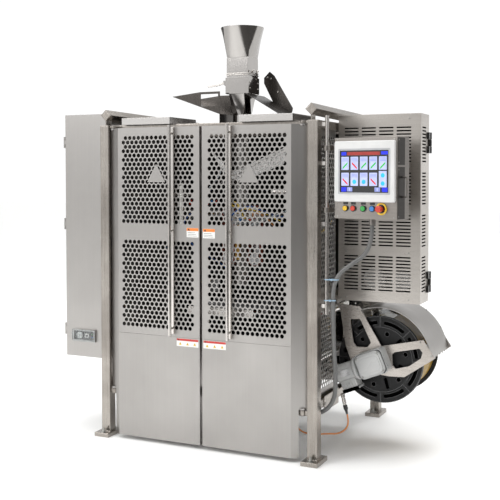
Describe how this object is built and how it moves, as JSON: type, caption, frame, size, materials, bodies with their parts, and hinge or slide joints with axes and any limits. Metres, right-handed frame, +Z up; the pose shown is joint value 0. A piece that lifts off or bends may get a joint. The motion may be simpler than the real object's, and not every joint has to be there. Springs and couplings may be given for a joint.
{
  "type": "vertical form fill sealer",
  "caption": "Floor-standing vertical form fill sealer with hopper, film reel, sealing jaws, perforated guard doors, side cabinets and a swing-out control pendant.",
  "frame": {"origin": "on the floor at the centre of the four feet's outer anchor holes", "axes": "+Z up, +X to the right of an operator facing the guard doors, +Y towards the back"},
  "size_m": [1.969, 1.115, 2.12],
  "materials": {
    "frame_steel": "satin stainless tube",
    "brushed_sheet": "brushed stainless sheet",
    "polished_steel": "fine polished stainless",
    "inner_plate": "satin plate",
    "aluminium": "machined aluminium",
    "jaw_steel": "ground steel",
    "brass": "satin seal face",
    "belt_rubber": "moulded silicone belt",
    "grey_plastic": "moulded",
    "grey_conduit": "corrugated nylon conduit",
    "orange_cable": "cable jacket",
    "grey_paint": "light grey enamel",
    "black_plastic": "moulded",
    "white_bezel": "powder coat",
    "screen_glass": "touch screen glass",
    "clear_cover": "clear polycarbonate",
    "film": "tinted packaging film",
    "yellow_plastic": "moulded",
    "red_plastic": "moulded",
    "green_plastic": "moulded",
    "blue_plastic": "moulded"
  },
  "bodies": {
    "frame": {"legs": "frame_steel", "frame_rails": "frame_steel", "top_beams": "brushed_sheet", "roof_covers": "brushed_sheet", "bulkhead": "inner_plate", "rear_cover": "brushed_sheet", "side_guard_right": "brushed_sheet", "side_cover_left": "brushed_sheet", "door_pivots": "frame_steel", "enclosure_body": "brushed_sheet", "louvre_cabinet": "brushed_sheet", "hmi_mast": "polished_steel", "junction_box": "grey_plastic", "hmi_conduit": "grey_conduit", "motor_cable": "orange_cable", "reel_arms": "brushed_sheet", "reel_gearmotor": "grey_paint", "film_guard": "brushed_sheet", "film_web": "film", "forming_tube": "polished_steel", "forming_shoulder": "polished_steel", "hopper": "polished_steel", "hopper_neck": "polished_steel", "chute_tray": "polished_steel", "belt_brackets": "aluminium", "pull_belts": "belt_rubber", "guide_rods": "polished_steel"},
    "left_guard_door": {"left_door": "brushed_sheet", "left_door_handle": "polished_steel"},
    "right_guard_door": {"right_door": "brushed_sheet", "right_door_handle": "polished_steel"},
    "enclosure_door": {"enclosure_door": "brushed_sheet"},
    "enclosure_latch": {"enclosure_latch": "black_plastic"},
    "port_cover": {"port_cover": "clear_cover"},
    "louvre_door": {"louvre_door": "brushed_sheet"},
    "pendant": {"hmi_box": "brushed_sheet", "hmi_bezel": "white_bezel", "hmi_screen": "screen_glass", "legend_plates": "aluminium"},
    "yellow_button": {"yellow_button": "yellow_plastic"},
    "red_button": {"red_button": "red_plastic"},
    "green_button": {"green_button": "green_plastic"},
    "blue_button": {"blue_button": "blue_plastic"},
    "estop_button": {"estop_button": "red_plastic"},
    "reel": {"reel_spindle": "polished_steel", "reel_discs": "black_plastic", "film_roll": "film"},
    "lower_idler": {"lower_idler": "aluminium"},
    "top_idler": {"top_idler": "aluminium"},
    "dancer": {"dancer_carriage": "aluminium"},
    "dancer_roller": {"dancer_roller": "aluminium"},
    "left_drive_pulley": {"left_drive_pulley": "aluminium"},
    "left_idle_pulley": {"left_idle_pulley": "aluminium"},
    "right_drive_pulley": {"right_drive_pulley": "aluminium"},
    "right_idle_pulley": {"right_idle_pulley": "aluminium"},
    "seal_bar": {"seal_bar": "brass"},
    "jaw_front": {"jaw_front": "jaw_steel"},
    "jaw_rear": {"jaw_rear": "jaw_steel"},
    "knife": {"knife": "jaw_steel"},
    "toggle_clamp": {"toggle_clamp": "polished_steel"}
  },
  "joints": [
    {"name": "left_door_swing", "type": "hinge", "parent": "frame", "child": "left_guard_door", "pos_m": [-0.52, -0.494, 0.9], "axis": [0, 0, -1], "range_deg": [0, 90]},
    {"name": "right_door_swing", "type": "hinge", "parent": "frame", "child": "right_guard_door", "pos_m": [0.52, -0.494, 0.9], "axis": [0, 0, 1], "range_deg": [0, 90]},
    {"name": "enclosure_door_swing", "type": "hinge", "parent": "frame", "child": "enclosure_door", "pos_m": [-0.883, -0.418, 1], "axis": [0, 0, -1], "range_deg": [0, 110]},
    {"name": "latch_turn", "type": "hinge", "parent": "enclosure_door", "child": "enclosure_latch", "pos_m": [-0.635, -0.428, 1.021], "axis": [0, 1, 0], "range_deg": [0, 90]},
    {"name": "port_cover_swing", "type": "hinge", "parent": "enclosure_door", "child": "port_cover", "pos_m": [-0.831, -0.438, 0.492], "axis": [0, 0, -1], "range_deg": [0, 120]},
    {"name": "louvre_door_swing", "type": "hinge", "parent": "frame", "child": "louvre_door", "pos_m": [1.011, -0.076, 1.16], "axis": [0, 0, -1], "range_deg": [0, 100]},
    {"name": "pendant_swing", "type": "hinge", "parent": "frame", "child": "pendant", "pos_m": [0.629, -0.468, 1.3], "axis": [0, 0, 1], "range_deg": [-70, 25]},
    {"name": "yellow_press", "type": "slide", "parent": "pendant", "child": "yellow_button", "axis": [0.2147, 0.9767, 0], "range_m": [0, 0.004], "stiffness_N_per_m": 600, "springref_m": -0.001},
    {"name": "red_press", "type": "slide", "parent": "pendant", "child": "red_button", "axis": [0.2147, 0.9767, 0], "range_m": [0, 0.004], "stiffness_N_per_m": 600, "springref_m": -0.001},
    {"name": "green_press", "type": "slide", "parent": "pendant", "child": "green_button", "axis": [0.2147, 0.9767, 0], "range_m": [0, 0.004], "stiffness_N_per_m": 600, "springref_m": -0.001},
    {"name": "blue_press", "type": "slide", "parent": "pendant", "child": "blue_button", "axis": [0.2147, 0.9767, 0], "range_m": [0, 0.004], "stiffness_N_per_m": 600, "springref_m": -0.001},
    {"name": "estop_press", "type": "slide", "parent": "pendant", "child": "estop_button", "axis": [0.2147, 0.9767, 0], "range_m": [0, 0.0035], "stiffness_N_per_m": 900, "springref_m": -0.001},
    {"name": "reel_spin", "type": "hinge", "parent": "frame", "child": "reel", "pos_m": [0.808, -0.059, 0.458], "axis": [0, 1, 0], "continuous": true},
    {"name": "lower_idler_spin", "type": "hinge", "parent": "frame", "child": "lower_idler", "pos_m": [0.525, -0.059, 0.675], "axis": [0, 1, 0], "continuous": true},
    {"name": "top_idler_spin", "type": "hinge", "parent": "frame", "child": "top_idler", "pos_m": [0.423, -0.059, 1.5], "axis": [0, 1, 0], "continuous": true},
    {"name": "dancer_lift", "type": "slide", "parent": "frame", "child": "dancer", "axis": [0, 0, 1], "range_m": [0, 0.12]},
    {"name": "dancer_roller_spin", "type": "hinge", "parent": "dancer", "child": "dancer_roller", "pos_m": [0.474, -0.059, 0.43], "axis": [0, 1, 0], "continuous": true},
    {"name": "left_drive_spin", "type": "hinge", "parent": "frame", "child": "left_drive_pulley", "pos_m": [-0.0759, -0.059, 1.15], "axis": [0, 1, 0], "continuous": true},
    {"name": "left_idle_spin", "type": "hinge", "parent": "frame", "child": "left_idle_pulley", "pos_m": [-0.0759, -0.059, 0.9], "axis": [0, 1, 0], "continuous": true},
    {"name": "right_drive_spin", "type": "hinge", "parent": "frame", "child": "right_drive_pulley", "pos_m": [0.0759, -0.059, 1.15], "axis": [0, 1, 0], "continuous": true},
    {"name": "right_idle_spin", "type": "hinge", "parent": "frame", "child": "right_idle_pulley", "pos_m": [0.0759, -0.059, 0.9], "axis": [0, 1, 0], "continuous": true},
    {"name": "seal_bar_retract", "type": "slide", "parent": "frame", "child": "seal_bar", "axis": [0, -1, 0], "range_m": [0, 0.03]},
    {"name": "jaw_close", "type": "slide", "parent": "frame", "child": "jaw_front", "axis": [0, 1, 0], "range_m": [0, 0.0395]},
    {"name": "jaw_rear_close", "type": "slide", "parent": "frame", "child": "jaw_rear", "axis": [0, -1, 0], "range_m": [0, 0.0395]},
    {"name": "knife_stroke", "type": "slide", "parent": "jaw_front", "child": "knife", "axis": [0, 1, 0], "range_m": [0, 0.012]},
    {"name": "clamp_release", "type": "hinge", "parent": "frame", "child": "toggle_clamp", "pos_m": [-0.097, -0.059, 1.838], "axis": [0, 1, 0], "range_deg": [0, 75]}
  ],
  "couplings": [
    {"joint": "left_idle_spin", "follows": "left_drive_spin", "ratio": 1},
    {"joint": "right_drive_spin", "follows": "left_drive_spin", "ratio": -1},
    {"joint": "right_idle_spin", "follows": "left_drive_spin", "ratio": -1},
    {"joint": "jaw_rear_close", "follows": "jaw_close", "ratio": 1}
  ]
}
